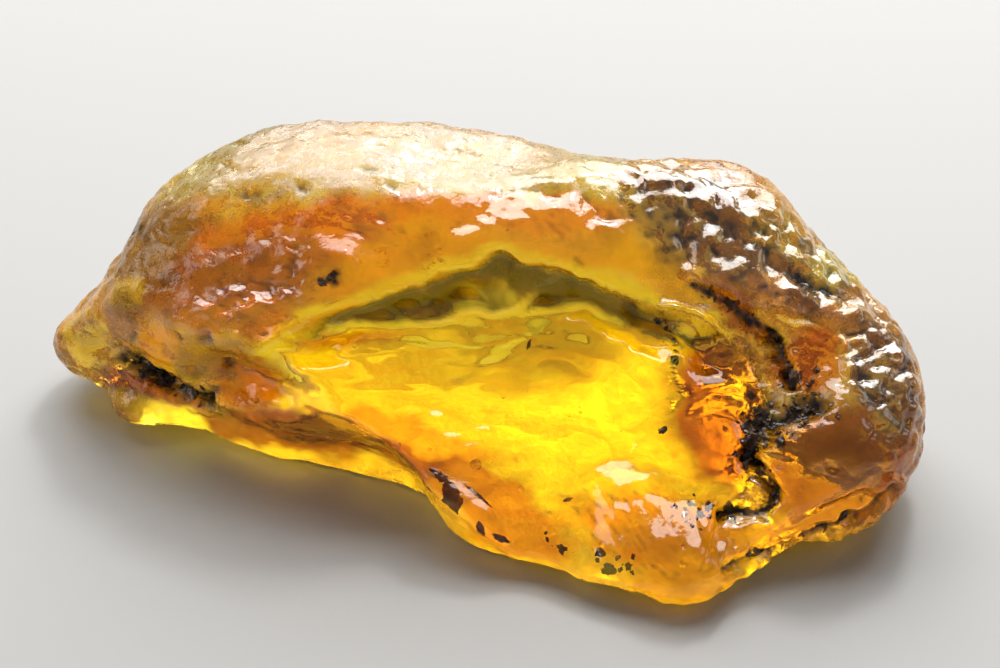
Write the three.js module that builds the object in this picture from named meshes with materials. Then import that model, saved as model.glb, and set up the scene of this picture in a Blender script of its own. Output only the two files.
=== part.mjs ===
// A piece of raw amber: one broken, weathered lump about 50 mm long.
// Units are millimetres, +Z is up, +X runs along the longest side, and the
// front, where the big shell-shaped break is, looks towards -Y.
//
// The lump starts as a body bounded by broken and weathered faces. Shell-shaped
// breaks are scooped out of it, rounded lumps are grown on it, narrow clefts
// are carved into it, and its underside is worn flat where it rests.
import * as THREE from 'three';
import { mergeVertices } from 'three/addons/utils/BufferGeometryUtils.js';
import { ImprovedNoise } from 'three/addons/math/ImprovedNoise.js';

// Driving dimensions.
const stoneLength = 50;
const meshDetail = 20; // splits of each icosahedron edge
const startRadii = new THREE.Vector3(24, 11, 8); // ellipsoid that spreads the triangles evenly
const heart = new THREE.Vector3(0.5, 1, 4.6); // the middle of the spine
const spineShare = 0.8; // how much of the ellipsoid's length the spine fills
const spineSlant = -0.24; // how far the spine runs to the front as it runs to the right
const edgeRounding = 0.9; // how soft the edges between faces are
const rayStep = 0.35;
const rayReach = 24;
const halvings = 16; // how often the last step is halved to find the surface
const mergeGap = 1e-5;

// Broken and weathered faces that bound the lump: an outward normal and a point on the face.
const faces = [
  { name: 'weathered top', normal: [0.02, 0.03, 1], point: [-2, 5, 16.6] },
  { name: 'top left slope', normal: [-0.34, 0.05, 0.94], point: [-13, 6, 16.1] },
  { name: 'top right slope', normal: [0.3, 0.5, 0.81], point: [6.5, 7.6, 15.6] },
  { name: 'top left edge', normal: [-0.56, 0.1, 0.82], point: [-17.6, 8.5, 13.7] },
  { name: 'left end, upper', normal: [-0.87, 0.05, 0.49], point: [-21.7, 6, 10] },
  { name: 'left end, tip', normal: [-0.97, 0.2, -0.1], point: [-25.6, 5, 3.5] },
  { name: 'front slope', normal: [0.03, -0.62, 0.78], point: [0, 2.7, 16.5] },
  { name: 'left front slope', normal: [-0.36, -0.62, 0.7], point: [-15, 0, 12] },
  { name: 'left front foot', normal: [-0.52, -0.85, -0.02], point: [-18.5, -0.2, 2.5] },
  { name: 'front foot', normal: [-0.1, -0.99, -0.06], point: [4, -15.1, 2] },
  { name: 'right front foot', normal: [0.52, -0.85, -0.14], point: [18, -12.3, 2.5] },
  { name: 'right end', normal: [0.97, -0.05, 0.2], point: [25.6, -6, 4.5] },
  { name: 'right shoulder', normal: [0.62, 0.1, 0.78], point: [19.4, 3, 12.4] },
  { name: 'right back', normal: [0.68, 0.73, 0.1], point: [20.8, 4.6, 8] },
  { name: 'back, upper', normal: [0.03, 0.9, 0.43], point: [-4, 10.6, 15.6] },
  { name: 'back, lower', normal: [-0.05, 0.97, -0.22], point: [0, 12.4, 6] },
  { name: 'left back', normal: [-0.45, 0.88, 0.1], point: [-17, 10.2, 9] },
  { name: 'underside, left', normal: [-0.16, -0.1, -0.98], point: [-16, 2, 0] },
  { name: 'underside, right', normal: [0.24, 0.05, -0.96], point: [15, -3, 0] },
  { name: 'underside, back', normal: [0, 0.5, -0.86], point: [0, 9, 0] },
  { name: 'underside, front', normal: [0, -0.4, -0.9], point: [2, -12.4, 0] },
];

// Rounded lumps that stand proud of the faces.
const lumps = [
  { name: 'bottom nub', centre: [11.6, -13.2, 2.1], radii: [2.7, 2.6, 2.3], soft: 1.4 },
  { name: 'right dome', centre: [20.6, -5.6, 4.4], radii: [5.3, 5.2, 4.8], soft: 2 },
  { name: 'shoulder knob', centre: [18.9, 2.4, 10], radii: [1.9, 1.9, 1.8], soft: 0.7 },
  { name: 'left tip', centre: [-23.4, 4.8, 2.9], radii: [2.4, 2, 1.5], soft: 1.6 },
  { name: 'lower left lip', centre: [-19.3, 1, 1.7], radii: [3.6, 1.8, 1.3], soft: 1 },
  { name: 'crust ridge', centre: [12.4, 4.4, 13.7], radii: [5.8, 3, 1.9], soft: 1.2 },
];

// Shell-shaped breaks: ellipsoids taken out of the lump.
const breaks = [
  { name: 'great front break', centre: [2.2, -16.6, 20.2], radii: [22, 17.6, 17.6], soft: 0.3 },
  { name: 'left lobe of the break', centre: [-8.6, -10.4, 17.6], radii: [9, 9.6, 9.6], soft: 0.5 },
  { name: 'valley in the break', centre: [5.2, -16.2, 14], radii: [4.4, 10, 10], soft: 1.6 },
  { name: 'right front break', centre: [12.4, -14.4, 15], radii: [8.6, 10, 10], soft: 0.6 },
  { name: 'left hollow', centre: [-16.4, -5.2, 6.4], radii: [5, 4.6, 2.6], soft: 0.8 },
  { name: 'front left recess', centre: [-9.6, -9.9, 0.4], radii: [8, 7, 5.4], soft: 2 },
];

// Narrow clefts: a path along the surface, how deep it is cut and how wide its mouth is.
const clefts = [
  {
    name: 'right cleft',
    depth: 1.5,
    width: 0.9,
    path: [[16.3, -3.5, 10.4], [17.3, -6.2, 8.5], [15.6, -7.8, 7.2], [15.9, -10.6, 5.2], [14, -12.2, 4.2]],
  },
  {
    name: 'left cleft',
    depth: 1.2,
    width: 0.7,
    path: [[-22.8, 2.2, 5.2], [-19.6, 0.4, 4.9], [-16.8, -1.4, 4.5]],
  },
  {
    name: 'lower right cleft',
    depth: 1,
    width: 0.6,
    path: [[14.8, -14, 2.2], [18.4, -12.4, 3], [22.2, -10, 4]],
  },
];

// Waviness of the surface, from broad undulation to small lumps.
const waves = [
  { size: 9, height: 0.9 },
  { size: 4, height: 0.38 },
  { size: 1.9, height: 0.16 },
];

const noise = new ImprovedNoise();

// The larger of two distances, with the crease between them rounded.
function softMax(a, b, soft) {
  const overlap = Math.max(soft - Math.abs(a - b), 0) / soft;
  return Math.max(a, b) + overlap * overlap * soft / 4;
}

function softMin(a, b, soft) {
  return -softMax(-a, -b, soft);
}

// Distance from an ellipsoid, near enough close to its surface.
function ellipsoidDistance(point, { centre, radii }) {
  const x = (point.x - centre[0]) / radii[0];
  const y = (point.y - centre[1]) / radii[1];
  const z = (point.z - centre[2]) / radii[2];
  return (Math.hypot(x, y, z) - 1) * Math.min(...radii);
}

function pathDistance(point, path) {
  const segment = new THREE.Line3();
  const nearest = new THREE.Vector3();
  let least = Infinity;
  for (let i = 1; i < path.length; i += 1) {
    segment.start.fromArray(path[i - 1]);
    segment.end.fromArray(path[i]);
    segment.closestPointToPoint(point, true, nearest);
    least = Math.min(least, nearest.distanceTo(point));
  }
  return least;
}

function waviness(point) {
  let sum = 0;
  for (const { size, height } of waves) {
    sum += height * noise.noise(point.x / size, point.y / size, point.z / size);
  }
  return sum;
}

const facePlanes = faces.map(({ normal, point }) => new THREE.Plane().setFromNormalAndCoplanarPoint(
  new THREE.Vector3(...normal).normalize(),
  new THREE.Vector3(...point),
));

// Below zero inside the amber and above zero outside it.
function amberField(point) {
  let field = facePlanes.map((plane) => plane.distanceToPoint(point))
    .reduce((deepest, distance) => softMax(deepest, distance, edgeRounding));
  for (const lump of lumps) {
    field = softMin(field, ellipsoidDistance(point, lump), lump.soft);
  }
  for (const scoop of breaks) {
    field = softMax(field, -ellipsoidDistance(point, scoop), scoop.soft);
  }
  for (const { path, depth, width } of clefts) {
    field += depth * Math.exp(-((pathDistance(point, path) / width) ** 2));
  }
  return field + waviness(point);
}

// How far a ray travels before it leaves the amber.
function reachOf(origin, direction) {
  const probe = new THREE.Vector3();
  let inside = 0;
  let outside = rayReach;
  for (let reach = rayStep; reach < rayReach; reach += rayStep) {
    probe.copy(origin).addScaledVector(direction, reach);
    if (amberField(probe) > 0) {
      outside = reach;
      break;
    }
    inside = reach;
  }
  for (let halving = 0; halving < halvings; halving += 1) {
    const middle = (inside + outside) / 2;
    probe.copy(origin).addScaledVector(direction, middle);
    if (amberField(probe) > 0) outside = middle;
    else inside = middle;
  }
  return inside;
}

// Every corner of a fine ball travels out from a slanted spine until it meets the surface.
function makeAmberGeometry() {
  const ball = new THREE.IcosahedronGeometry(1, meshDetail);
  ball.deleteAttribute('normal');
  ball.deleteAttribute('uv');
  const geometry = mergeVertices(ball, mergeGap);
  const position = geometry.getAttribute('position');
  const start = new THREE.Vector3();
  const origin = new THREE.Vector3();
  const direction = new THREE.Vector3();
  for (let i = 0; i < position.count; i += 1) {
    start.fromBufferAttribute(position, i).multiply(startRadii);
    origin.set(start.x * spineShare, start.x * spineShare * spineSlant, 0).add(heart);
    start.y += start.x * spineSlant;
    direction.copy(start).add(heart).sub(origin).normalize();
    start.copy(origin).addScaledVector(direction, reachOf(origin, direction));
    if (start.z < 0) start.copy(origin).addScaledVector(direction, -origin.z / direction.z);
    position.setXYZ(i, start.x, start.y, start.z);
  }
  return geometry;
}

// Scales the lump to its length and puts the origin under the middle of its box.
function settle(geometry) {
  geometry.computeBoundingBox();
  const scale = stoneLength / (geometry.boundingBox.max.x - geometry.boundingBox.min.x);
  geometry.scale(scale, scale, scale);
  geometry.computeBoundingBox();
  const middle = geometry.boundingBox.getCenter(new THREE.Vector3());
  geometry.translate(-middle.x, -middle.y, -geometry.boundingBox.min.z);
  geometry.computeVertexNormals();
  return geometry;
}

const amber = new THREE.MeshStandardMaterial({ color: 0xd98a12, roughness: 0.25, metalness: 0 });

const amberPiece = new THREE.Mesh(settle(makeAmberGeometry()), amber);
amberPiece.name = 'amber_piece';

const rawAmber = new THREE.Group();
rawAmber.add(amberPiece);

export default rawAmber;
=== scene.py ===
# A piece of raw amber on a pale table, lit softly from behind so that it glows.
# Blender works in metres. The shapes below are given in millimetres, which suits a 50 mm stone, and
# toMetres converts them. +X runs along the lump and -Y is its broken front.
import math

import bmesh
import bpy
import numpy as np
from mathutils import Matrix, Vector
from mathutils.bvhtree import BVHTree


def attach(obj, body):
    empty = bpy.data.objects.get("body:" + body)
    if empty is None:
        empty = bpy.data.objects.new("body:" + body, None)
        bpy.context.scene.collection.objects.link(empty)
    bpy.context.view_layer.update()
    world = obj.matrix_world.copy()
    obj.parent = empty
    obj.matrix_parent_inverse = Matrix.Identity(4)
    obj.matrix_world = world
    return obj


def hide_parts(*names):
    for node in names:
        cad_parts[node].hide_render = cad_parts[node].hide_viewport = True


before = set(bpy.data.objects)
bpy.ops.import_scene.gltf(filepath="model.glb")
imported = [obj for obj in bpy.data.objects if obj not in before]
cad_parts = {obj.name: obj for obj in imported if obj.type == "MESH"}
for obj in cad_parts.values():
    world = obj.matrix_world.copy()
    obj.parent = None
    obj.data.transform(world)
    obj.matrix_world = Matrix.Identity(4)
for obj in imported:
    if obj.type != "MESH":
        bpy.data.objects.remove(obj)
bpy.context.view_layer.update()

toMetres = 0.001
lumpNode = "amber_piece"

# Features on the broken front are placed by two numbers: how far along X, and how far up the
# front slope. The slope leans back, and this is the way it faces and the way up it.
slopeLean = math.radians(38)
frontWay = np.array([0, -math.cos(slopeLean), math.sin(slopeLean)])
slopeUp = np.array([0, math.sin(slopeLean), math.cos(slopeLean)])

cameraSettings = {
    "lens": 85,
    "distance": 132.3,  # mm from the point it looks at
    "aim": (1.28, 0.66, 7.85),  # mm
    "clipStart": 0.001,
}


def makeCamera():
    data = bpy.data.cameras.new("camera")
    data.lens = cameraSettings["lens"]
    data.clip_start = cameraSettings["clipStart"]
    camera = bpy.data.objects.new("camera", data)
    bpy.context.collection.objects.link(camera)
    place = np.array(cameraSettings["aim"]) + frontWay * cameraSettings["distance"]
    camera.location = place * toMetres
    camera.rotation_euler = (math.pi / 2 - slopeLean, 0, 0)
    bpy.context.scene.camera = camera


# Places and sizes of the lamps and the table are in metres.
lightSettings = {
    "aim": (0, 0, 0.006),
    "skyColour": (0.90, 0.94, 1.0),
    "skyStrength": 0.2,
    "lamps": {
        "backSoftbox": {"place": (0.005, 0.225, 0.235), "size": (0.44, 0.38), "watts": 3.4,
                        "warmth": 0.04},
        "glintLamp": {"place": (0.07, 0.20, 0.25), "size": (0.05, 0.05), "watts": 0.5, "warmth": 0.0},
        "leftFill": {"place": (-0.33, 0.04, 0.20), "size": (0.16, 0.16), "watts": 0.2, "warmth": 0.05},
        "rightFill": {"place": (0.34, 0.02, 0.20), "size": (0.16, 0.16), "watts": 0.12, "warmth": -0.02},
    },
}


def warmWhite(warmth):
    # White with a little blue taken out, or a little red where the warmth is below zero.
    return 1 + min(warmth, 0), 1 - abs(warmth) / 2, 1 - max(warmth, 0)


def makeLights():
    world = bpy.data.worlds.new("studio air")
    world.use_nodes = True
    sky = world.node_tree.nodes["Background"]
    sky.inputs["Color"].default_value = (*lightSettings["skyColour"], 1)
    sky.inputs["Strength"].default_value = lightSettings["skyStrength"]
    bpy.context.scene.world = world
    for name, settings in lightSettings["lamps"].items():
        data = bpy.data.lights.new(name, "AREA")
        data.shape = "RECTANGLE"
        data.size, data.size_y = settings["size"]
        data.energy = settings["watts"]
        data.color = warmWhite(settings["warmth"])
        lamp = bpy.data.objects.new(name, data)
        bpy.context.collection.objects.link(lamp)
        lamp.location = settings["place"]
        aim = Vector(lightSettings["aim"]) - Vector(settings["place"])
        lamp.rotation_euler = aim.to_track_quat("-Z", "Y").to_euler()


def linkMesh(name, points, faces, smooth=True):
    mesh = bpy.data.meshes.new(name)
    mesh.from_pydata(np.asarray(points).tolist(), [], np.asarray(faces).tolist())
    if smooth:
        mesh.shade_smooth()
    piece = bpy.data.objects.new(name, mesh)
    bpy.context.collection.objects.link(piece)
    return piece


def newMaterial(name):
    material = bpy.data.materials.new(name)
    material.use_nodes = True
    tree = material.node_tree
    return material, tree, tree.nodes["Principled BSDF"]


tableSettings = {
    "halfSide": 1.5,
    "drop": 0.00006,  # the stone stands a hair above the table, on its highest grains
    "colour": (0.32, 0.32, 0.315),
    "roughness": 0.6,
    "gloss": 0.1,
}


def makeTable():
    half = tableSettings["halfSide"]
    low = -tableSettings["drop"]
    corners = [(-half, -half, low), (half, -half, low), (half, half, low), (-half, half, low)]
    table = linkMesh("pale_table", corners, [(0, 1, 2, 3)], smooth=False)
    material, tree, shader = newMaterial("pale table top")
    shader.inputs["Base Color"].default_value = (*tableSettings["colour"], 1)
    shader.inputs["Roughness"].default_value = tableSettings["roughness"]
    shader.inputs["Specular IOR Level"].default_value = tableSettings["gloss"]
    table.data.materials.append(material)


bpy.context.scene.view_settings.view_transform = "Standard"  # keeps the deep yellow saturated
makeCamera()
makeLights()
makeTable()
print("camera, lights and table are placed")


def softStep(low, high, value):
    share = np.clip((value - low) / (high - low), 0, 1)
    return share * share * (3 - 2 * share)


def bell(distance, width):
    return np.exp(-(distance / width) ** 2)


# The noise repeats after this many cells, a power of two, and the gain brings it to about -1 to 1.
noiseCells = 256
noiseGain = 1.6


def latticeTables(seed):
    rng = np.random.default_rng(seed)
    order = rng.permutation(noiseCells)
    spread = rng.normal(size=(noiseCells, 3))
    return order, spread / np.linalg.norm(spread, axis=1, keepdims=True), rng.random((noiseCells, 3))


def latticePick(order, at):
    wrap = noiseCells - 1
    at = at & wrap
    return order[(order[(order[at[:, 0]] + at[:, 1]) & wrap] + at[:, 2]) & wrap]


def ripple(points, size, seed):
    # Smooth noise from about -1 to 1, with swells about one size apart.
    order, slopes, _ = latticeTables(seed)
    cells = points / size
    base = np.floor(cells).astype(int)
    inner = cells - base
    ease = inner ** 3 * (inner * (inner * 6 - 15) + 10)
    total = np.zeros(len(points))
    for corner in np.ndindex(2, 2, 2):
        pick = latticePick(order, base + corner)
        weight = np.prod(np.where(np.array(corner) == 1, ease, 1 - ease), axis=1)
        total += weight * (slopes[pick] * (inner - corner)).sum(axis=1)
    return total * noiseGain


def layeredRipple(points, size, seed, layers=3):
    return sum(ripple(points, size / 2 ** i, seed + i) / 2 ** i for i in range(layers))


def waver(points, size, seeds, layers=3):
    # Two ripples side by side, which shift a place on the slope to make an edge ragged.
    return np.stack([layeredRipple(points, size, seed, layers) for seed in seeds], axis=1)


def pebbles(points, size, seed):
    # Distance to the nearest pebble's middle, and how far the crease beside it is.
    order, _, jitter = latticeTables(seed)
    cells = points / size
    base = np.floor(cells).astype(int)
    nearest = np.full(len(points), np.inf)
    second = np.full(len(points), np.inf)
    for step in np.ndindex(3, 3, 3):
        at = base + step - 1
        away = np.linalg.norm(cells - at - jitter[latticePick(order, at)], axis=1)
        second = np.minimum(second, np.maximum(nearest, away))
        nearest = np.minimum(nearest, away)
    return nearest, second - nearest


def loopSplit(points, faces):
    # Loop's scheme: every triangle becomes four and the surface relaxes to a smooth one. The
    # fractions are the scheme's own.
    edges = np.sort(np.concatenate([faces[:, [0, 1]], faces[:, [1, 2]], faces[:, [2, 0]]]), axis=1)
    unique, where = np.unique(edges, axis=0, return_inverse=True)
    where = where.reshape(-1)
    wings = np.zeros((len(unique), 3))
    np.add.at(wings, where, points[np.concatenate([faces[:, 2], faces[:, 0], faces[:, 1]])])
    middles = (points[unique[:, 0]] + points[unique[:, 1]]) * 3 / 8 + wings / 8
    ring = np.zeros_like(points)
    count = np.zeros(len(points))
    for a, b in ((0, 1), (1, 0)):
        np.add.at(ring, unique[:, a], points[unique[:, b]])
        np.add.at(count, unique[:, a], 1)
    weight = (5 / 8 - (3 / 8 + np.cos(2 * math.pi / count) / 4) ** 2) / count
    moved = points * (1 - count * weight)[:, None] + ring * weight[:, None]
    ab, bc, ca = np.split(where + len(points), 3)
    a, b, c = faces.T
    quarters = [(a, ab, ca), (b, bc, ab), (c, ca, bc), (ab, bc, ca)]
    return np.concatenate([moved, middles]), np.concatenate([np.stack(q, 1) for q in quarters])


def cornerNormals(points, faces):
    corner = points[faces]
    across = np.cross(corner[:, 1] - corner[:, 0], corner[:, 2] - corner[:, 0])
    normals = np.zeros_like(points)
    for i in range(3):
        np.add.at(normals, faces[:, i], across)
    return normals / np.linalg.norm(normals, axis=1, keepdims=True)


mergeGap = 1e-6  # metres; corners closer than this are one corner


def readCadMesh(node):
    work = bmesh.new()
    work.from_mesh(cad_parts[node].data)
    bmesh.ops.remove_doubles(work, verts=work.verts, dist=mergeGap)
    bmesh.ops.triangulate(work, faces=work.faces)
    points = np.array([v.co[:] for v in work.verts])
    faces = np.array([[v.index for v in f.verts] for f in work.faces])
    work.free()
    return points / toMetres, faces


def onSlope(points):
    # Along X and up the front slope, as two columns.
    return np.stack([points[:, 0], points @ slopeUp], axis=1)


def pathReach(places, path):
    # Distance from a path on the slope, and which side of it a place lies (above is positive).
    least = np.full(len(places), np.inf)
    side = np.zeros(len(places))
    for a, b in zip(np.array(path[:-1]), np.array(path[1:])):
        run = b - a
        share = np.clip((places - a) @ run / (run @ run), 0, 1)
        away = places - a - share[:, None] * run
        distance = np.linalg.norm(away, axis=1)
        closer = distance < least
        side = np.where(closer, np.sign(run[0] * away[:, 1] - run[1] * away[:, 0]), side)
        least = np.minimum(least, distance)
    return least, side


def turned(places, turn):
    angle = math.radians(turn)
    along = places[:, 0] * math.cos(angle) + places[:, 1] * math.sin(angle)
    return along, places[:, 1] * math.cos(angle) - places[:, 0] * math.sin(angle)


def patch(places, middle, radii, turn, soft):
    # 1 inside an oval on the slope, 0 outside it, fading over the soft share of its radius.
    along, beside = turned(places - np.array(middle), turn)
    return 1 - softStep(1 - soft, 1 + soft, np.hypot(along / radii[0], beside / radii[1]))


def strongest(places, patches):
    # The strongest of several soft ovals at each place.
    return np.max([share * patch(places, middle, radii, turn, soft)
                   for middle, radii, turn, soft, share in patches.values()], axis=0)


lumpSettings = {
    "splits": 2,
    "ragged": {  # how ragged the edges of patches and clefts are
        "wobble": 0.45, "size": 2.6, "seeds": (5, 15), "cleftShare": 0.5,
        "fine": 0.34, "fineSize": 0.7, "fineSeeds": (7, 17),
    },
    # Each pair below says where a share starts and where it is full.
    "frontStarts": (0.05, 0.35),  # how squarely a place faces the front
    "behindStarts": (0.1, -0.5),
    "standStarts": (0.0, 0.6),  # height above the table
    "freshSoft": 0.2,
    "wornSoft": 0.35,
    "behindWear": 0.6,  # the skin behind is thinner, and has less soil in it
    "fresh": {  # the ovals that make up the fresh break: middle, radii, turn
        "main": ((0.0, 4.6), (11.0, 4.6), 2),
        "left": ((-8.6, 4.6), (4.6, 2.5), 6),
        "valley": ((4.4, -0.8), (4.6, 4.2), -20),
        "right": ((11.6, 2.0), (4.2, 5.0), 10),
    },
    "worn": {  # places where the crust has worn thin: middle, radii, turn and how thin
        "band": ((-3.6, 11.4), (8.6, 2.3), 14, 0.45),
        "bump": ((5.0, 11.6), (5.0, 2.2), -12, 0.4),
        "leftBand": ((-11.0, 12.4), (5.0, 1.2), 8, 0.35),
        "bottomStrip": ((-9.4, 0.9), (8.6, 1.5), -5, 0.5),
        "lowerMiddle": ((2.0, -3.4), (6.0, 2.6), -26, 0.6),
        "nub": ((11.2, -6.4), (3.4, 1.6), 0, 0.5),
        "window": ((18.2, 5.0), (1.9, 2.0), 0, 0.6),
        "dome": ((19.6, -0.6), (4.4, 3.0), 18, 0.55),
        "roughFoot": ((9.5, -3.8), (5.5, 2.4), -8, 0.8),
        "rightFoot": ((17.6, -3.6), (5.0, 1.2), 20, 0.5),
        "tip": ((-22.8, 6.0), (1.4, 1.8), -20, 0.25),
        "lip": ((-18.2, 1.8), (3.2, 0.8), -20, 0.7),
        "facet": ((-18.0, 5.7), (1.4, 1.2), -30, 0.5),
    },
    "rim": {
        "path": [
            (-12.6, 5.0), (-11.3, 6.0), (-9.7, 7.0), (-7.4, 7.9), (-4.2, 9.0), (-1.5, 10.1), (1.3, 10.9),
            (2.9, 10.5), (4.6, 10.2), (6.8, 9.4), (8.9, 8.5), (11.1, 7.6), (13.0, 6.6),
        ],
        "span": (-13.0, 13.4), "crustEdge": 0.5, "fadeLeft": (-13.2, -9.5), "fadeRight": (14.5, 12),
        "lip": 0.34, "lipWidth": 0.7, "lightLine": 0.25, "lightLineWidth": 0.3, "lightLineWear": 0.8,
        "underStart": 0.4, "undercut": 1.15, "undercutPlace": 0.7, "undercutWidth": 1.3,
        "lobeEdge": (-0.12, 0.25),
        # The lobes are painted shade under the rim.
        "lobes": {  # the dark lobes under the rim: the step below each and where it starts and ends
            "underLeftBand": (-12.0, -9.0, 3.4, 4.6),
            "underRightBand": (2.2, 3.4, 10.6, 11.8),
        },
    },
    "terraces": {  # steps down to the side below each path, or up if negative: drop, width, softness
        "underLeftBand": (0.5, 1.0, 0.3, [
            (-8.6, 6.7), (-6.7, 6.8), (-2.9, 7.1), (-0.6, 7.8), (1.9, 8.3), (3.5, 9.0),
        ]),
        "leftStep": (0.28, 0.9, 0.3, [(-12.0, 5.6), (-10.0, 5.9), (-7.0, 5.8), (-3.6, 6.2), (-1.5, 6.0)]),
        "underRightBand": (0.36, 0.9, 0.3, [(3.4, 7.9), (5.6, 8.1), (8.0, 7.4), (10.4, 6.2)]),
        "lowerEdge": (-0.3, 1.3, 1.0, [
            (-12.4, 2.6), (-9.5, 2.5), (-7.1, 2.9), (-2.9, 2.0), (-0.6, 1.3), (3.2, 0.0), (4.9, -1.4),
            (5.2, -3.8),
        ]),
        "rightEdge": (0.26, 1.3, 1.0, [
            (10.9, 6.4), (10.8, 3.4), (10.2, 1.8), (8.4, 0.7), (7.0, -1.4), (6.6, -4.0),
        ]),
        "slant": (0.2, 0.8, 0.3, [(-3.0, 2.3), (-0.4, 4.4), (2.0, 6.1)]),
    },
    "rolls": {  # smooth raised folds in the crust: height and width
        "sheenFold": (0.55, 0.8, [(12.4, 9.9), (15.0, 9.2), (17.6, 8.4), (20.2, 7.2)]),
        "windowTop": (0.4, 0.5, [(16.2, 7.0), (18.2, 6.9), (20.0, 6.0), (20.3, 3.6)]),
        "shoulderFold": (0.5, 1.0, [(-16.6, 7.6), (-14.0, 7.9), (-11.4, 8.0), (-9.4, 8.6)]),
        "shoulderUpper": (0.35, 0.9, [(-15.0, 10.2), (-11.0, 10.9), (-7.0, 10.6)]),
        "bumpRoll": (0.45, 0.9, [(-0.6, 11.7), (1.6, 12.6), (4.6, 12.7), (7.4, 11.9)]),
        "leftFacet": (0.4, 0.6, [(-19.0, 6.4), (-17.2, 5.4), (-16.6, 4.2)]),
        "lowerFold": (0.3, 0.5, [(-2.6, -1.2), (-0.4, -3.4), (2.2, -5.2)]),
    },
    "clefts": {  # depth, width, height of the lips and reach of the soil
        "rightUpper": (0.5, 0.3, 0.12, 0.26, [
            (11.9, 9.4), (12.8, 8.6), (13.6, 8.3), (14.5, 7.5), (15.4, 7.1), (16.2, 6.5),
        ]),
        "rightStrip": (0.9, 0.32, 0.12, 0.42, [(16.3, 6.4), (16.7, 5.3), (17.2, 3.9)]),
        "rightHole": (0.8, 0.5, 0.1, 0.95, [(18.3, 3.0), (17.2, 2.3), (16.2, 2.1), (15.1, 1.6)]),
        "rightLower": (0.8, 0.3, 0.14, 0.42, [
            (15.5, 1.2), (14.5, -0.1), (15.4, -1.0), (16.2, -2.2), (15.4, -3.0), (13.2, -3.1),
        ]),
        "left": (0.9, 0.36, 0.16, 0.85, [
            (-20.6, 5.4), (-19.4, 4.9), (-18.4, 4.2), (-17.2, 3.3), (-15.4, 3.1),
        ]),
        "lowerRight": (0.6, 0.26, 0.28, 0.26, [
            (13.2, -5.7), (14.8, -5.4), (17.0, -4.8), (19.2, -4.0), (21.4, -2.8), (22.6, -1.8),
        ]),
        "underKnob": (0.6, 0.35, 0.1, 0.45, [(17.6, 9.6), (18.8, 8.9), (20.2, 8.4)]),
        "chipTop": (0.22, 0.18, 0.05, 0.12, [(9.9, 8.0), (10.3, 7.2), (11.0, 6.8)]),
        "chipFoot": (0.28, 0.18, 0.06, 0.13, [(11.0, 6.6), (12.0, 6.3), (13.3, 6.5)]),
        "leftSpeck": (0.15, 0.3, 0.08, 0.32, [(-8.3, 9.5), (-7.5, 9.9)]),
        "hairline": (0.12, 0.14, 0.03, 0.08, [(10.9, 6.4), (10.85, 5.0), (10.9, 3.7), (10.4, 2.6)]),
    },
    "tear": {  # how the clefts' depth and width come and go, and how many widths out their lips stand
        "level": 0.75, "swing": 0.6, "size": 1.4, "seed": 27, "lipPlace": 2.4,
    },
    "chip": {"middle": (11.6, 7.1), "radii": (1.9, 0.75), "turn": -27, "soft": 0.12, "height": 0.45},
    "rings": {"middle": (13.2, 1.3), "spacing": 1.0, "height": 0.07, "reach": 3.4, "level": 0.6},
    "flow": {"height": 0.05, "size": 0.9, "seed": 40, "stretch": 7.0, "turn": 10},
    "fan": {"middle": (4.6, 0.4), "height": 0.045, "size": 0.8, "seed": 44, "stretch": 6.0, "spokes": 5},
    "fanStarts": (2.0, 6.0),
    "streakDepth": 0.1,  # how fast the streaks change with depth
    "knobbly": {  # patches of coarse knobs: middle, radii, turn, softness and how strong
        "ridge": ((14.0, 12.0), (7.6, 2.9), -26, 0.3, 1.0),
        "rightEdge": ((21.8, 4.0), (2.4, 4.6), 12, 0.4, 1.0),
        "shoulder": ((-11.4, 9.0), (3.4, 1.1), 20, 0.5, 0.8),
        "bandTop": ((-6.4, 13.0), (1.4, 0.8), -30, 0.5, 0.7),
        "bump": ((3.6, 13.4), (4.2, 1.5), -4, 0.5, 1.0),
    },
    "beaded": {  # patches of fine glassy beads, described the same way
        "bump": ((3.6, 13.0), (4.8, 1.9), -4, 0.5, 1.0),
        "shoulder": ((-12.6, 8.2), (4.4, 1.5), 12, 0.5, 1.0),
        "bandTop": ((-6.4, 13.0), (1.8, 1.0), -30, 0.5, 1.0),
    },
    "knobsBehind": {"least": 0.15, "most": 0.45, "starts": (0.0, 0.6), "size": 6, "seed": 66},
    "knobs": {"size": 1.15, "seed": 60, "spread": 0.75, "height": 0.5, "stray": 0.12},
    "beads": {"size": 0.58, "seed": 61, "spread": 0.8, "height": 0.24, "beadedHeight": 0.22, "gloss": 0.6},
    "domeLevel": 0.5,
    "creaseSoil": {"starts": (0.14, 0.02), "share": 0.8},
    "pits": {"size": 1.5, "seed": 70, "starts": (0.6, 0.85), "depth": 0.3, "soil": 0.6},
    "roughFoot": {
        "patch": ((9.5, -3.8), (5.5, 2.4), -8, 0.4), "height": 0.26, "level": 0.4,
        "size": 1.1, "seed": 75, "fineSize": 0.55, "fineSeed": 76, "fineShare": 0.5,
        "soilStarts": (0.12, 0.0), "soil": 0.5,
    },
    "grain": {"height": 0.13, "size": 1.2, "seed": 80},
    "base": {"facing": (-0.9, -0.98), "near": (0.3, 0.05), "depth": 0.35, "size": 5.5, "seed": 90},
    "thinTop": (13.0, 15.0),  # from this height up the crust lets more light in
}


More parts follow.
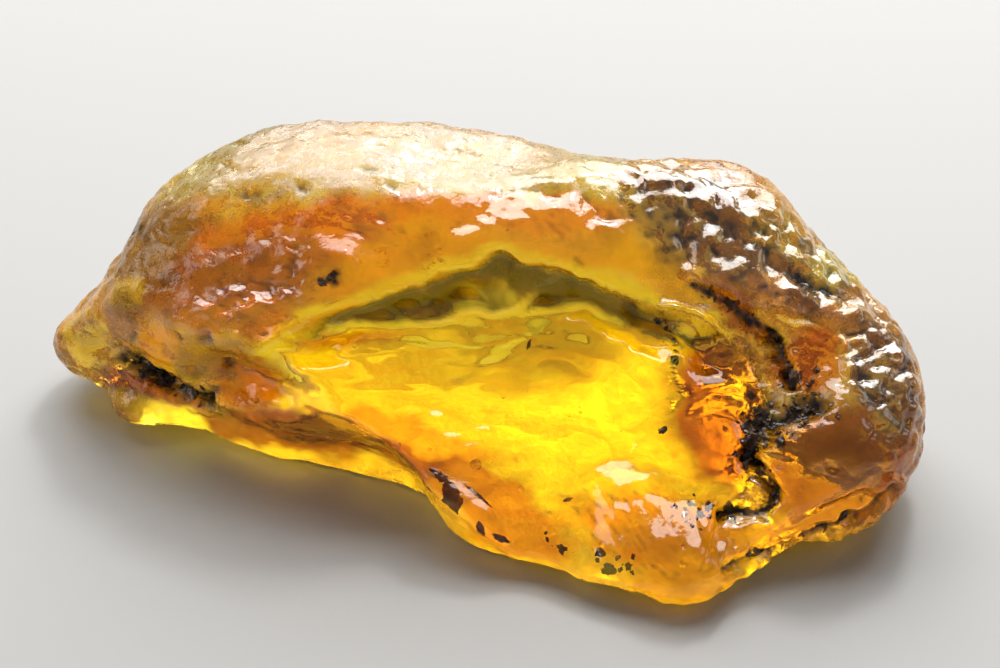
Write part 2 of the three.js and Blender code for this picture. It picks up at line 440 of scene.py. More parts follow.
def streaks(points, places, settings):
    # Fine lines that run along the break on its left and sweep round in a fan on its right.
    flow = settings["flow"]
    fan = settings["fan"]
    depth = points[:, 2] * settings["streakDepth"]
    along, beside = turned(places, flow["turn"])
    lines = np.stack([along / flow["stretch"], beside, depth], axis=1)
    away = places - np.array(fan["middle"])
    sweep = np.arctan2(away[:, 1], away[:, 0]) * fan["spokes"] / fan["stretch"]
    spokes = np.stack([sweep, np.hypot(away[:, 0], away[:, 1]), depth], axis=1)
    flowHeight = layeredRipple(lines, flow["size"], flow["seed"]) * flow["height"]
    fanHeight = layeredRipple(spokes, fan["size"], fan["seed"]) * fan["height"]
    share = softStep(*settings["fanStarts"], places[:, 0])
    return flowHeight * (1 - share) + fanHeight * share


def readSurface(points, normals, settings):
    # Where each point lies on the slope, plainly and with ragged edges, and which way it faces.
    ragged = settings["ragged"]
    plain = onSlope(points)
    wander = waver(points, ragged["size"], ragged["seeds"]) * ragged["wobble"]
    fine = waver(points, ragged["fineSize"], ragged["fineSeeds"], 1)
    places = plain + wander
    rimReach, rimSide = pathReach(places, settings["rim"]["path"])
    return {
        "points": points,
        "plain": plain,
        "places": places,
        "jagged": plain + wander * ragged["cleftShare"] + fine * ragged["fine"],
        "fine": fine,
        "facing": softStep(*settings["frontStarts"], normals @ frontWay),
        "hidden": softStep(*settings["behindStarts"], normals @ frontWay),
        "rimReach": rimReach,
        "aboveRim": rimSide > 0,
        "belowRim": rimSide < 0,
    }


def coverWithCrust(at, settings):
    # How much of the fresh break and how much weathered crust there is at each place.
    places = at["places"]
    rim = settings["rim"]
    ovals = settings["fresh"].values()
    fresh = np.max([patch(places, *oval, settings["freshSoft"]) for oval in ovals], axis=0)
    left, right = rim["span"]
    above = at["aboveRim"] & (places[:, 0] > left) & (places[:, 0] < right)
    fresh = fresh * np.where(above, softStep(rim["crustEdge"], 0, at["rimReach"]), 1) * at["facing"]
    crust = (1 - fresh) * (1 - settings["behindWear"] * at["hidden"])
    for middle, radii, turn, share in settings["worn"].values():
        oval = patch(places, middle, radii, turn, settings["wornSoft"])
        crust = crust * (1 - share * oval * at["facing"])
    return fresh, crust


def cutRim(at, settings):
    # The rim stands proud above the break, and the break is cut in under it.
    rim = settings["rim"]
    across = at["places"][:, 0]
    fade = at["facing"] * softStep(*rim["fadeLeft"], across) * softStep(*rim["fadeRight"], across)
    rise = rim["lip"] * bell(at["rimReach"], rim["lipWidth"]) * at["aboveRim"]
    under = softStep(0, rim["underStart"], at["rimReach"]) * at["belowRim"]
    fall = rim["undercut"] * bell(at["rimReach"] - rim["undercutPlace"], rim["undercutWidth"]) * under
    # Painted shade: dark lobes under the rim, each reaching down to the step below it.
    lobes = np.zeros(len(across))
    for name, (start, full, last, end) in rim["lobes"].items():
        reach, side = pathReach(at["places"], settings["terraces"][name][-1])
        along = softStep(start, full, at["plain"][:, 0]) * softStep(end, last, at["plain"][:, 0])
        lobes = np.maximum(lobes, softStep(*rim["lobeEdge"], reach * side) * along)
    lightLine = bell(at["rimReach"] - rim["lightLine"], rim["lightLineWidth"]) * at["aboveRim"] * fade
    return (rise - fall) * fade, lobes * under * fade, lightLine


def addStepsAndFolds(at, settings):
    height = np.zeros(len(at["points"]))
    for drop, width, soft, path in settings["terraces"].values():
        reach, side = pathReach(at["places"], path)
        edge = softStep(0, soft, reach) * side * drop / 2
        height = height + edge * bell(reach, width) * at["facing"]
    for rise, width, path in settings["rolls"].values():
        reach, _ = pathReach(at["places"], path)
        height = height + rise * bell(reach, width) * at["facing"]
    return height


def tearClefts(at, settings):
    # Torn clefts, with raised lips and soil in them.
    tear = settings["tear"]
    patchy = tear["level"] + tear["swing"] * ripple(at["points"], tear["size"], tear["seed"])
    height = np.zeros(len(at["points"]))
    soil = np.zeros(len(at["points"]))
    for depth, width, lip, soilReach, path in settings["clefts"].values():
        reach, _ = pathReach(at["jagged"], path)
        height = height - depth * patchy * bell(reach, width) * at["facing"]
        height = height + lip * bell(reach - width * tear["lipPlace"], width) * at["facing"]
        soil = np.maximum(soil, bell(reach, soilReach * patchy) * at["facing"])
    return height, soil


def addChipAndLines(at, fresh, settings):
    # A leaf-shaped chip under the rim, shell rings on the right and fine lines across the break.
    chip = settings["chip"]
    leaf = patch(at["jagged"], chip["middle"], chip["radii"], chip["turn"], chip["soft"])
    rings = settings["rings"]
    away = np.linalg.norm(at["places"] - np.array(rings["middle"]), axis=1)
    waves = np.abs(np.sin(away * math.pi / rings["spacing"])) - rings["level"]
    lines = rings["height"] * waves * bell(away, rings["reach"])
    lines = lines + streaks(at["points"], at["places"], settings)
    return chip["height"] * leaf * at["facing"] + lines * fresh


def domes(middle, spread, level):
    return np.sqrt(np.maximum(0, 1 - (middle / spread) ** 2)) - level


def addCrustGrain(at, crust, settings):
    # Coarse knobs and glassy beads, pits, a rough foot and a fine grain over all of the crust.
    points = at["points"]
    knobs = settings["knobs"]
    beads = settings["beads"]
    behind = settings["knobsBehind"]
    spread = softStep(*behind["starts"], ripple(points, behind["size"], behind["seed"]))
    knobbly = strongest(at["places"], settings["knobbly"]) * (1 - at["hidden"])
    knobbly = np.maximum(knobbly, at["hidden"] * (behind["least"] + behind["most"] * spread)) * crust
    beaded = strongest(at["places"], settings["beaded"]) * at["facing"]
    middle, crease = pebbles(points + at["fine"][:, :1] * knobs["stray"], knobs["size"], knobs["seed"])
    small, _ = pebbles(points, beads["size"], beads["seed"])
    large = domes(middle, knobs["spread"], settings["domeLevel"])
    small = domes(small, beads["spread"], settings["domeLevel"])
    height = knobbly * (knobs["height"] * large + beads["height"] * small)
    height = height + beaded * beads["beadedHeight"] * small * (1 - knobbly)

    pitted = settings["pits"]
    pits = softStep(*pitted["starts"], layeredRipple(points, pitted["size"], pitted["seed"])) * crust
    foot = settings["roughFoot"]
    rough = patch(at["places"], *foot["patch"]) * at["facing"]
    edges = np.abs(ripple(points, foot["size"], foot["seed"]))
    angular = edges + foot["fineShare"] * np.abs(ripple(points, foot["fineSize"], foot["fineSeed"]))
    grain = settings["grain"]
    height = height - pitted["depth"] * pits
    height = height + rough * foot["height"] * (angular - foot["level"])
    height = height + crust * grain["height"] * layeredRipple(points, grain["size"], grain["seed"])

    creases = settings["creaseSoil"]
    soil = knobbly * softStep(*creases["starts"], crease) * creases["share"]
    soil = np.maximum(soil, pits * pitted["soil"])
    soil = soil * (1 - settings["behindWear"] * at["hidden"])
    soil = np.maximum(soil, rough * softStep(*foot["soilStarts"], edges) * foot["soil"])
    return height, soil, np.maximum(knobbly, beads["gloss"] * beaded)


def shapeLump(points, faces, settings):
    # Carves the lump, and marks what each place on it is like.
    normals = cornerNormals(points, faces)
    at = readSurface(points, normals, settings)
    fresh, crust = coverWithCrust(at, settings)
    rimHeight, shade, lightLine = cutRim(at, settings)
    crust = crust * (1 - settings["rim"]["lightLineWear"] * lightLine)
    cleftHeight, cleftSoil = tearClefts(at, settings)
    grainHeight, grainSoil, glossy = addCrustGrain(at, crust, settings)
    height = rimHeight + addStepsAndFolds(at, settings) + cleftHeight + grainHeight
    height = height + addChipAndLines(at, fresh, settings)

    # The worn base stays level, so its relief only goes inwards.
    base = settings["base"]
    level = softStep(*base["facing"], normals[:, 2]) * softStep(*base["near"], points[:, 2])
    inward = -np.abs(ripple(points, base["size"], base["seed"])) * base["depth"]
    height = height * softStep(*settings["standStarts"], points[:, 2]) * (1 - level) + inward * level
    points = points + normals * height[:, None]
    points[:, 2] = np.maximum(points[:, 2], 0)
    thin = np.maximum(at["hidden"], softStep(*settings["thinTop"], points[:, 2]))
    marks = {
        "crust": crust,
        "thin": crust * thin * (1 - level),
        "backing": level,
        "soil": np.maximum(cleftSoil, grainSoil),
        "knobbly": glossy,
    }
    return points, marks, shade, lightLine


# What colour each part of the lump is: a place on the slope, an oval's radii, its turn and a colour.
tintSettings = {
    "crust": (0.88, 0.46, 0.07),
    "break": (1.0, 0.92, 0.06),
    # Painted shade: the dark olive colour of the lobes under the rim.
    "underRimShade": (0.055, 0.040, 0.001),
    "lip": (1.0, 0.80, 0.04),
    "patchSoft": 0.3,
    # Each pair called starts says where a share begins and where it is full.
    "ragged": {"size": 2.2, "seeds": (21, 31), "share": 0.6},
    "frontStarts": (-0.1, 0.25),
    "behindStarts": (0.1, -0.4),
    "blotches": {"dark": 0.65, "starts": (0.0, 0.8), "size": 1.7, "seed": 45, "layers": 4},
    "shade": {"starts": (-1.3, -0.1), "size": 2.4, "seed": 55},
    "topStarts": {"facing": (0.6, 0.85), "up": (13.7, 14.8), "across": (9.5, 6.5)},
    "topLeftStarts": (-9, -15),
    "topRightStarts": (1, 7),
    "patches": {
        "orangeBand": ((-8.0, 12.2), (10.0, 2.0), 8, (1.0, 0.20, 0.002)),
        "yellowBand": ((-3.2, 10.9), (7.4, 1.6), 20, (1.0, 0.32, 0.003)),
        "sparklyBump": ((4.4, 12.0), (5.0, 1.7), -10, (1.0, 0.34, 0.006)),
        "bumpFold": ((2.2, 13.2), (6.4, 1.0), -3, (1.0, 0.22, 0.004)),
        "rightOfRim": ((9.4, 10.2), (2.8, 1.2), -30, (1.0, 0.40, 0.004)),
        "matteSlope": ((-18.2, 11.4), (2.6, 3.4), -30, (0.32, 0.18, 0.03)),
        "leftShoulder": ((-13.4, 9.4), (5.6, 2.4), 16, (0.34, 0.06, 0.002)),
        "shoulderFoot": ((-12.6, 7.4), (3.6, 0.9), 4, (0.80, 0.18, 0.003)),
        "yellowPatch": ((-19.7, 8.6), (1.4, 0.9), 40, (0.90, 0.64, 0.06)),
        "dullPatch": ((-20.5, 6.6), (1.4, 1.1), 20, (0.52, 0.27, 0.13)),
        "orangeFacet": ((-18.0, 5.7), (1.4, 1.2), -30, (0.98, 0.30, 0.008)),
        "hollow": ((-15.5, 5.2), (1.6, 1.3), 0, (0.40, 0.16, 0.006)),
        "redBrown": ((-12.8, 3.9), (2.4, 1.9), -20, (0.22, 0.04, 0.002)),
        "lowerLeftBody": ((-19.0, 3.2), (3.4, 1.1), -18, (0.22, 0.035, 0.001)),
        "bottomStrip": ((-10.0, 1.0), (7.4, 1.3), -5, (0.08, 0.013, 0.0003)),
        "underBreak": ((-1.6, -0.6), (5.0, 1.5), -26, (0.10, 0.015, 0.0004)),
        "lowerMiddle": ((1.6, -3.4), (3.8, 1.8), -30, (0.55, 0.17, 0.003)),
        "lowerRough": ((9.8, -3.8), (5.2, 2.0), -6, (0.66, 0.24, 0.003)),
        "rightZone": ((13.2, 2.4), (2.7, 4.6), 6, (0.16, 0.027, 0.0004)),
        "windowZone": ((18.2, 5.0), (1.9, 2.0), 0, (0.60, 0.12, 0.001)),
        "rightDome": ((19.8, -0.4), (4.8, 3.6), 18, (0.46, 0.12, 0.004)),
        "rightFoot": ((18.6, -3.4), (4.4, 0.9), 20, (0.90, 0.34, 0.02)),
        "knobblyRidge": ((13.2, 12.4), (6.0, 2.5), -26, (0.16, 0.09, 0.045)),
        "ridgeYellow": ((16.6, 12.4), (2.2, 1.2), -40, (0.66, 0.46, 0.06)),
        "sheenFold": ((16.8, 8.8), (4.2, 0.7), -18, (0.62, 0.30, 0.12)),
        "rightEdge": ((22.2, 4.2), (1.7, 3.6), 12, (0.20, 0.11, 0.05)),
        "knob": ((19.8, 10.2), (1.6, 1.4), 0, (0.72, 0.58, 0.07)),
        "nub": ((11.4, -6.6), (3.0, 1.4), 0, (0.85, 0.42, 0.01)),
        "tip": ((-22.8, 6.0), (1.4, 1.8), -20, (0.97, 0.62, 0.04)),
        "lowerLeftLip": ((-18.2, 1.8), (3.2, 0.7), -20, (0.90, 0.88, 0.08)),
        "brownOval": ((14.6, 3.9), (0.8, 1.5), 10, (0.40, 0.14, 0.012)),
        "cleftRed": ((14.2, 7.8), (2.6, 0.6), -34, (0.34, 0.07, 0.004)),
        "leftStepBrown": ((-7.2, 6.3), (3.6, 0.5), 3, (0.62, 0.30, 0.008)),
        "breakFoot": ((-4.0, 1.2), (5.5, 0.8), -14, (0.7, 0.26, 0.003)),
    },
    "behind": (1.0, 0.76, 0.20),
    "underside": (1.0, 0.84, 0.22),
    # The pale top is a painted sheen where the top faces up, and its light tint also lets more light into
    # the stone; the olive ends are the crust's own colour.
    "top": (0.90, 0.84, 0.68),
    "topLeft": (0.50, 0.47, 0.12),
    "topRight": (0.74, 0.66, 0.22),
}


def paintOver(colour, paint, share):
    share = share[:, None]
    return colour * (1 - share) + np.array(paint) * share


def tintLump(points, normals, marks, shade, lightLine, settings):
    ragged = settings["ragged"]
    places = onSlope(points) + waver(points, ragged["size"], ragged["seeds"]) * ragged["share"]
    facing = softStep(*settings["frontStarts"], normals @ frontWay)
    colour = paintOver(np.array(settings["break"]), settings["crust"], marks["crust"])
    colour = paintOver(colour, settings["behind"], softStep(*settings["behindStarts"], normals @ frontWay))
    for middle, radii, turn, paint in settings["patches"].values():
        oval = patch(places, middle, radii, turn, settings["patchSoft"])
        colour = paintOver(colour, paint, oval * facing)
    blotches = settings["blotches"]
    spread = layeredRipple(points, blotches["size"], blotches["seed"], blotches["layers"])
    blotch = softStep(*blotches["starts"], spread) * marks["crust"] * facing
    colour = colour * (1 - blotches["dark"] * blotch[:, None])
    # The painted shade under the rim, broken up by a ripple.
    dim = settings["shade"]
    shade = shade * softStep(*dim["starts"], layeredRipple(points, dim["size"], dim["seed"]))
    colour = paintOver(colour, settings["underRimShade"], shade)
    colour = paintOver(colour, settings["lip"], lightLine)

    # Painted sheen: the upward-facing top is painted pale, olive towards the ends. The same mark makes the
    # top rougher.
    starts = settings["topStarts"]
    top = softStep(*starts["facing"], normals[:, 2]) * softStep(*starts["up"], places[:, 1])
    top = top * softStep(*starts["across"], places[:, 0])
    leftward = softStep(*settings["topLeftStarts"], points[:, 0])
    rightward = softStep(*settings["topRightStarts"], points[:, 0])
    paint = paintOver(np.array(settings["top"]), settings["topLeft"], leftward)
    paint = paintOver(paint, settings["topRight"], rightward)
    colour = paintOver(colour, paint, top)
    return paintOver(colour, settings["underside"], marks["backing"]), top


def addMark(mesh, name, values):
    layer = mesh.attributes.new(name, "FLOAT", "POINT")
    layer.data.foreach_set("value", np.ascontiguousarray(values, dtype=np.float32))


def addTint(mesh, name, colour):
    layer = mesh.attributes.new(name, "FLOAT_VECTOR", "POINT")
    layer.data.foreach_set("vector", np.ascontiguousarray(colour, dtype=np.float32).ravel())


amberSettings = {
    "ior": 1.54,
    "absorbColour": (0.99, 0.92, 0.05),
    "absorbDensity": 130,
    "clearShare": 0.98,  # how see-through the fresh break is
    "crustShare": 0.72,
    "thinExtra": 0.2,  # the crust on top and behind lets more light in
    "mottleLoss": 0.1,
    "backingLoss": 0.7,  # the straw-coloured crust underneath lets less through
    "crustColour": (0.24, 0.10, 0.02),
    "crustMix": 0.4,
    "silkColour": (1.0, 0.60, 0.3),  # the fine darker streaks across the break
    "soilColour": (0.012, 0.008, 0.005),
    "clearRough": 0.06,
    "crustRough": 0.24,
    "topRough": 0.08,  # added on the top
    "backingRough": 0.25,  # added underneath
    "beadPolish": 0.14,  # taken away on the beads
    "beadRough": 0.06,  # of the glassy coat on the beads
    "beadIor": 1.6,
    "bumpStrength": 0.85,
    "bumpDistance": 0.00012,
    "mottle": {"scale": 520, "detail": 3, "roughness": 0.62},
    "grain": {"scale": 1700, "detail": 2, "roughness": 0.6},
    "silk": {"scale": 1, "detail": 2, "roughness": 0.5},
    "silkStretch": (240, 1600, 1600),
    "silkTurn": (0, 0, -8),
    # Where each noise starts and ends, and what it gives there.
    "mottleSpread": (0.45, 0.64, 0, 1),
    "silkSpread": (0.42, 0.66, 0, 0.5),
    "soilSpread": (0.3, 0.6, 0.6, 1.15),
    "grainRough": (0.4, 0.65, -0.1, 0.12),
}


class NodeBench:
    # Lays shader nodes out and joins them.
    def __init__(self, tree):
        self.tree = tree

    def add(self, kind, **options):
        node = self.tree.nodes.new(kind)
        for key, value in options.items():
            setattr(node, key, value)
        return node

    def feed(self, socket, value):
        if isinstance(value, bpy.types.NodeSocket):
            self.tree.links.new(value, socket)
        else:
            socket.default_value = value

    def math(self, operation, a, b=0.0, clamp=False):
        node = self.add("ShaderNodeMath", operation=operation, use_clamp=clamp)
        self.feed(node.inputs[0], a)
        self.feed(node.inputs[1], b)
        return node.outputs[0]

    def remap(self, value, fromLow, fromHigh, toLow, toHigh):
        node = self.add("ShaderNodeMapRange", interpolation_type="SMOOTHSTEP")
        for socket, number in zip(node.inputs, (value, fromLow, fromHigh, toLow, toHigh)):
            self.feed(socket, number)
        return node.outputs[0]

    def mix(self, share, a, b, blend="MIX"):
        node = self.add("ShaderNodeMix", data_type="RGBA", blend_type=blend)
        self.feed(node.inputs["Factor"], share)
        colours = [socket for socket in node.inputs if socket.type == "RGBA"]
        self.feed(colours[0], a if isinstance(a, bpy.types.NodeSocket) else (*a, 1))
        self.feed(colours[1], b if isinstance(b, bpy.types.NodeSocket) else (*b, 1))
        return next(socket for socket in node.outputs if socket.type == "RGBA")

    def place(self):
        return self.add("ShaderNodeTexCoord").outputs["Object"]

    def noise(self, place, scale, detail, roughness):
        node = self.add("ShaderNodeTexNoise")
        self.feed(node.inputs["Vector"], place)
        node.inputs["Scale"].default_value = scale
        node.inputs["Detail"].default_value = detail
        node.inputs["Roughness"].default_value = roughness
        return node.outputs["Fac"]

    def mark(self, name, output="Fac"):
        return self.add("ShaderNodeAttribute", attribute_name=name).outputs[output]

    def stretched(self, place, scale, turn):
        node = self.add("ShaderNodeMapping")
        self.feed(node.inputs["Vector"], place)
        node.inputs["Scale"].default_value = scale
        node.inputs["Rotation"].default_value = [math.radians(a) for a in turn]
        return node.outputs[0]

    def bump(self, height, settings):
        node = self.add("ShaderNodeBump")
        self.feed(node.inputs["Height"], height)
        node.inputs["Strength"].default_value = settings["bumpStrength"]
        node.inputs["Distance"].default_value = settings["bumpDistance"]
        return node.outputs[0]


def makeAmberMaterial(settings):
    material, tree, shader = newMaterial("raw golden amber")
    bench = NodeBench(tree)
    place = bench.place()
    crust = bench.mark("crust")
    backing = bench.mark("backing")
    knobbly = bench.mark("knobbly")
    mottle = bench.noise(place, **settings["mottle"])
    grain = bench.noise(place, **settings["grain"])
    silkPlace = bench.stretched(place, settings["silkStretch"], settings["silkTurn"])
    silk = bench.noise(silkPlace, **settings["silk"])

    crustSpread = bench.math("MULTIPLY", crust, bench.remap(mottle, *settings["mottleSpread"]))
    clear = bench.math("SUBTRACT", 1.0, crust)
    silkSpread = bench.math("MULTIPLY", clear, bench.remap(silk, *settings["silkSpread"]))
    soilGrain = bench.remap(grain, *settings["soilSpread"])
    soilSpread = bench.math("MULTIPLY", bench.mark("soil"), soilGrain, clamp=True)
    crustMix = bench.math("MULTIPLY", crustSpread, settings["crustMix"])
    colour = bench.mix(crustMix, bench.mark("tint", "Vector"), settings["crustColour"])
    colour = bench.mix(silkSpread, colour, settings["silkColour"], "MULTIPLY")
    colour = bench.mix(soilSpread, colour, settings["soilColour"])
    bench.feed(shader.inputs["Base Color"], colour)

    share = bench.remap(crust, 0, 1, settings["clearShare"], settings["crustShare"])
    share = bench.math("SUBTRACT", share, bench.math("MULTIPLY", crustSpread, settings["mottleLoss"]))
    share = bench.math("ADD", share, bench.math("MULTIPLY", bench.mark("thin"), settings["thinExtra"]))
    share = bench.math("SUBTRACT", share, bench.math("MULTIPLY", backing, settings["backingLoss"]))
    share = bench.math("MULTIPLY", share, bench.math("SUBTRACT", 1.0, soilSpread), clamp=True)
    bench.feed(shader.inputs["Transmission Weight"], share)

    grainRough = bench.math("MULTIPLY", crust, bench.remap(grain, *settings["grainRough"]))
    rough = bench.remap(crust, 0, 1, settings["clearRough"], settings["crustRough"])
    rough = bench.math("ADD", rough, grainRough)
    rough = bench.math("ADD", rough, bench.math("MULTIPLY", bench.mark("top"), settings["topRough"]))
    rough = bench.math("ADD", rough, bench.math("MULTIPLY", backing, settings["backingRough"]))
    polish = bench.math("MULTIPLY", knobbly, settings["beadPolish"])
    bench.feed(shader.inputs["Roughness"], bench.math("SUBTRACT", rough, polish, clamp=True))
    bench.feed(shader.inputs["Normal"], bench.bump(bench.math("MULTIPLY", grain, crust), settings))

    bench.feed(shader.inputs["Coat Weight"], knobbly)
    shader.inputs["Coat Roughness"].default_value = settings["beadRough"]
    shader.inputs["Coat IOR"].default_value = settings["beadIor"]
    shader.inputs["IOR"].default_value = settings["ior"]
    absorb = bench.add("ShaderNodeVolumeAbsorption")
    absorb.inputs["Color"].default_value = (*settings["absorbColour"], 1)
    absorb.inputs["Density"].default_value = settings["absorbDensity"]
    tree.links.new(absorb.outputs[0], tree.nodes["Material Output"].inputs["Volume"])
    return material


def makeLump():
    points, faces = readCadMesh(lumpNode)
    for _ in range(lumpSettings["splits"]):
        points, faces = loopSplit(points, faces)
    points, marks, shade, lightLine = shapeLump(points, faces, lumpSettings)
    normals = cornerNormals(points, faces)
    colour, marks["top"] = tintLump(points, normals, marks, shade, lightLine, tintSettings)
    lump = linkMesh("amber_lump", points * toMetres, faces)
    for name, values in marks.items():
        addMark(lump.data, name, values)
    addTint(lump.data, "tint", colour)
    lump.data.materials.append(makeAmberMaterial(amberSettings))
    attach(lump, "root")
    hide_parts(lumpNode)
    print("amber lump:", len(faces), "triangles")
    return points, faces


lumpPoints, lumpFaces = makeLump()
lumpTree = BVHTree.FromPolygons(lumpPoints.tolist(), lumpFaces.tolist())


# What is sealed in the amber and caught in its clefts is found by rays that start in front of it.
rayStart = 60  # mm


def onSurface(across, up, sink):
    # The point on the front of the lump at a place on the slope, sunk in by a depth.
    start = Vector((across, 0, 0)) + Vector(slopeUp) * up + Vector(frontWay) * rayStart
    hit = lumpTree.ray_cast(start, -Vector(frontWay))[0]
    return None if hit is None else np.array(hit) - frontWay * sink


def ball(splits):
    work = bmesh.new()
    bmesh.ops.create_icosphere(work, subdivisions=splits, radius=1)
    points = np.array([v.co[:] for v in work.verts])
    faces = np.array([[v.index for v in f.verts] for f in work.faces])
    work.free()
    return points, faces


def spin(rng):
    turn = rng.normal(size=4)
    w, x, y, z = turn / np.linalg.norm(turn)
    return np.array([
        [1 - 2 * (y * y + z * z), 2 * (x * y - z * w), 2 * (x * z + y * w)],
        [2 * (x * y + z * w), 1 - 2 * (x * x + z * z), 2 * (y * z - x * w)],
        [2 * (x * z - y * w), 2 * (y * z + x * w), 1 - 2 * (x * x + y * y)],
    ])


def gather(name, parts, smooth=True):
    # One mesh of many bits.
    points = []
    faces = []
    count = 0
    for somePoints, someFaces in parts:
        points.append(somePoints)
        faces.append(someFaces + count)
        count += len(somePoints)
    piece = linkMesh(name, np.concatenate(points) * toMetres, np.concatenate(faces), smooth)
    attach(piece, "root")
    print(name + ":", len(parts), "bits,", len(piece.data.polygons), "faces")
    return piece


noiseShift = 40  # how far apart two bits may read the noise that dents them
lastDentSeed = 999


def dentBall(points, rng, settings):
    # How far each point of a ball moves out or in.
    seed = int(rng.integers(1, lastDentSeed))
    dents = settings["dents"] * layeredRipple(points, settings["dentSize"], seed, settings["dentLayers"])
    return (1 + dents)[:, None]


def alongPath(path, share):
    path = np.array(path)
    runs = np.linalg.norm(np.diff(path, axis=0), axis=1)
    shares = np.append(0, np.cumsum(runs)) / runs.sum()
    return np.array([np.interp(share, shares, path[:, i]) for i in range(2)])


cleftPaths = {name: cleft[-1] for name, cleft in lumpSettings["clefts"].items()}

barkSettings = {
    "seed": 11,
    "colour": (0.030, 0.016, 0.009),
    "paleColour": (0.20, 0.12, 0.06),
    "roughness": 0.42,
    "sizes": (0.08, 0.42),  # mm
    "shrink": (0.5, 1.0),
    "stretch": (0.25, 1.2),
    "dents": 0.75,
    "dentSize": 0.7,
    "dentLayers": 2,
    "splits": 2,
    "clumpStray": 0.05,
    "sinkMore": 0.15,
    "grain": {"scale": 2600, "detail": 3, "roughness": 0.6},
    "grainSpread": (0.5, 0.75, 0, 1),
    "bumpStrength": 0.5,
    "bumpDistance": 0.00005,
    # Where the crumbs lie: the path, how many, in how many clumps, how far they stray and how deep.
    "trails": {
        "rightUpper": ([(12.4, 9.0), (13.6, 8.3), (15.4, 7.1)], 26, 7, 0.26, 0.14),
        "rightStrip": (cleftPaths["rightStrip"], 34, 4, 0.16, 0.14),
        "rightHole": (cleftPaths["rightHole"], 120, 7, 0.5, 0.06),
        "rightLower": (cleftPaths["rightLower"], 84, 9, 0.24, 0.12),
        "leftCleft": (cleftPaths["left"], 90, 7, 0.24, 0.1),
        "lowerRow": ([(2.9, -4.3), (5.4, -4.9), (8.6, -5.6)], 16, 6, 0.4, 0.2),
        "underCleft": ([(9.8, -2.6), (12.0, -3.4), (14.4, -3.2)], 22, 5, 0.5, 0.2),
        "lowerRight": ([(14.6, -5.3), (18.0, -4.4), (21.0, -3.0)], 14, 5, 0.14, 0.1),
        "underKnob": (cleftPaths["underKnob"], 14, 3, 0.2, 0.1),
        "rimRight": ([(9.8, 7.6), (10.9, 6.4), (10.8, 4.6)], 6, 3, 0.1, 0.05),
        "speck": ([(-8.4, 9.5), (-7.4, 9.9)], 9, 3, 0.14, 0.1),
        "pit": ([(10.0, 1.5), (10.3, 1.1)], 3, 1, 0.05, 0.02),
    },
}


def makeBarkCrumbs(settings):
    rng = np.random.default_rng(settings["seed"])
    template, faces = ball(settings["splits"])
    parts = []
    for path, count, clumps, stray, sink in settings["trails"].values():
        middles = rng.random(clumps)
        for _ in range(count):
            share = np.clip(rng.choice(middles) + rng.normal() * settings["clumpStray"], 0, 1)
            place = alongPath(path, share) + rng.normal(size=2) * stray
            middle = onSurface(*place, sink + rng.random() * settings["sinkMore"])
            if middle is None:
                continue
            size = rng.uniform(*settings["sizes"]) * rng.uniform(*settings["shrink"])
            shape = rng.uniform(*settings["stretch"], size=3) * size
            aside = rng.random(3) * noiseShift
            dented = dentBall(template + aside, rng, settings)
            parts.append(((template * dented * shape) @ spin(rng).T + middle, faces))
    crumbs = gather("bark_crumbs", parts, smooth=False)
    material, tree, shader = newMaterial("dark bark crumb")
    bench = NodeBench(tree)
    grain = bench.noise(bench.place(), **settings["grain"])
    spread = bench.remap(grain, *settings["grainSpread"])
    colour = bench.mix(spread, settings["colour"], settings["paleColour"])
    bench.feed(shader.inputs["Base Color"], colour)
    bench.feed(shader.inputs["Normal"], bench.bump(grain, settings))
    shader.inputs["Roughness"].default_value = settings["roughness"]
    crumbs.data.materials.append(material)


makeBarkCrumbs(barkSettings)

splinterSettings = {
    "seed": 23,
    "colour": (0.10, 0.030, 0.006),
    "edgeColour": (0.36, 0.12, 0.02),
    "splits": 3,
    "dents": 0.6,
    "dentSize": 0.7,
    "dentLayers": 3,
    "dentCrowding": 2,
    "taper": 0.6,
    "grain": {"scale": 1800, "detail": 3, "roughness": 0.6},
    "grainSpread": (0.45, 0.7, 0, 1),
    "roughSpread": (0.3, 0.7, 0.35, 0.6),
    # Place on the slope, depth, half lengths along, across and through, and turn.
    "splinters": [
        ((-1.9, -1.4), 0.9, (0.5, 0.22, 0.16), -40),
        ((-1.4, -2.0), 0.9, (0.7, 0.30, 0.2), -58),
        ((-1.0, -2.6), 0.9, (0.4, 0.26, 0.14), -70),
        ((0.0, -2.3), 0.8, (0.95, 0.12, 0.12), -42),
        ((0.35, -3.9), 0.7, (0.42, 0.18, 0.15), -60),
        ((-2.2, -1.3), 1.2, (0.5, 0.14, 0.14), -50),
        ((1.4, -4.4), 0.7, (0.5, 0.12, 0.12), -30),
        ((5.0, -2.6), 1.0, (0.3, 0.14, 0.1), 20),
        ((2.9, 6.0), 0.7, (0.3, 0.1, 0.1), 70),
    ],
}


def makeSplinters(settings):
    rng = np.random.default_rng(settings["seed"])
    template, faces = ball(settings["splits"])
    parts = []
    for place, sink, radii, turn in settings["splinters"]:
        middle = onSurface(*place, sink)
        angle = math.radians(turn)
        lengthWay = np.array([math.cos(angle), 0, 0]) + slopeUp * math.sin(angle)
        widthWay = np.array([-math.sin(angle), 0, 0]) + slopeUp * math.cos(angle)
        dented = dentBall(template * settings["dentCrowding"], rng, settings)
        shape = template * dented * np.array(radii)
        shape[:, 1:] *= 1 - settings["taper"] * np.abs(template[:, :1])
        ways = np.stack([lengthWay, widthWay, frontWay])
        parts.append((shape @ ways + middle, faces))
    splinters = gather("dark_splinters", parts)
    material, tree, shader = newMaterial("sealed plant splinter")
    bench = NodeBench(tree)
    grain = bench.noise(bench.place(), **settings["grain"])
    spread = bench.remap(grain, *settings["grainSpread"])
    colour = bench.mix(spread, settings["colour"], settings["edgeColour"])
    bench.feed(shader.inputs["Base Color"], colour)
    bench.feed(shader.inputs["Roughness"], bench.remap(grain, *settings["roughSpread"]))
    splinters.data.materials.append(material)


makeSplinters(splinterSettings)

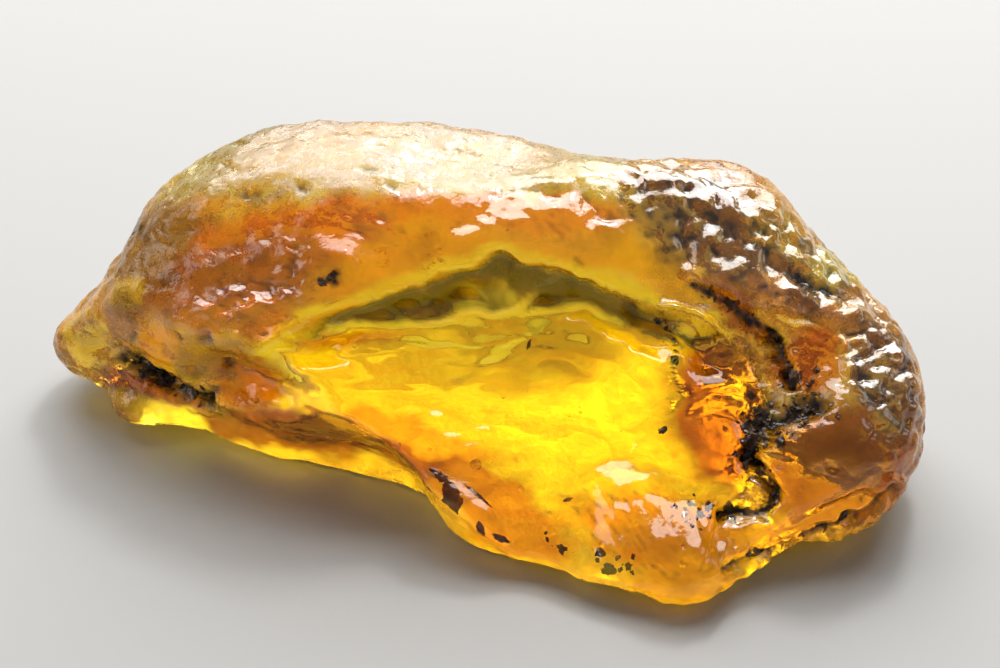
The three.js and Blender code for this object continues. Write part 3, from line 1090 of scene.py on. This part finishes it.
bubbleSettings = {
    "seed": 37,
    "splits": 3,
    "colour": (1.0, 0.97, 0.86),
    "ior": 1.35,
    "cloud": {"scale": 3000, "detail": 2, "roughness": 0.5},
    "roughSpread": (0.4, 0.7, 0.03, 0.15),
    "flattest": 0.8,
    # Place on the slope, depth and radius.
    "bubbles": [
        ((-4.3, 0.5), 0.7, 0.30), ((-0.1, -0.7), 0.6, 0.34), ((0.7, -0.5), 0.8, 0.16),
        ((-2.6, 0.1), 0.9, 0.14), ((2.4, -2.0), 0.8, 0.2), ((4.0, -3.3), 0.7, 0.15),
        ((-6.1, 1.3), 0.7, 0.18), ((6.9, -4.8), 0.6, 0.2), ((-8.4, 1.0), 0.6, 0.13),
        ((1.5, 3.1), 1.2, 0.12), ((11.0, -5.6), 0.6, 0.22), ((12.5, -5.0), 0.7, 0.14),
    ],
    "scattered": 26,
    "scatterAcross": (-9, 12),
    "scatterUp": (-5, 6),
    "scatterDepths": (0.7, 2.2),
    "scatterSizes": (0.05, 0.12),
}


def makeBubbles(settings):
    rng = np.random.default_rng(settings["seed"])
    template, faces = ball(settings["splits"])
    spots = list(settings["bubbles"])
    for _ in range(settings["scattered"]):
        place = (rng.uniform(*settings["scatterAcross"]), rng.uniform(*settings["scatterUp"]))
        depth = rng.uniform(*settings["scatterDepths"])
        spots.append((place, depth, rng.uniform(*settings["scatterSizes"])))
    parts = []
    for place, sink, radius in spots:
        middle = onSurface(*place, sink + radius)
        if middle is None:
            continue
        stretch = np.array([1, 1, rng.uniform(settings["flattest"], 1)]) * radius
        parts.append(((template * stretch) @ spin(rng).T + middle, faces))
    bubbles = gather("sealed_bubbles", parts)
    material, tree, shader = newMaterial("bubble wall")
    bench = NodeBench(tree)
    cloud = bench.noise(bench.place(), **settings["cloud"])
    bench.feed(shader.inputs["Roughness"], bench.remap(cloud, *settings["roughSpread"]))
    shader.inputs["Base Color"].default_value = (*settings["colour"], 1)
    shader.inputs["Transmission Weight"].default_value = 1.0
    shader.inputs["IOR"].default_value = settings["ior"]
    bubbles.data.materials.append(material)


makeBubbles(bubbleSettings)
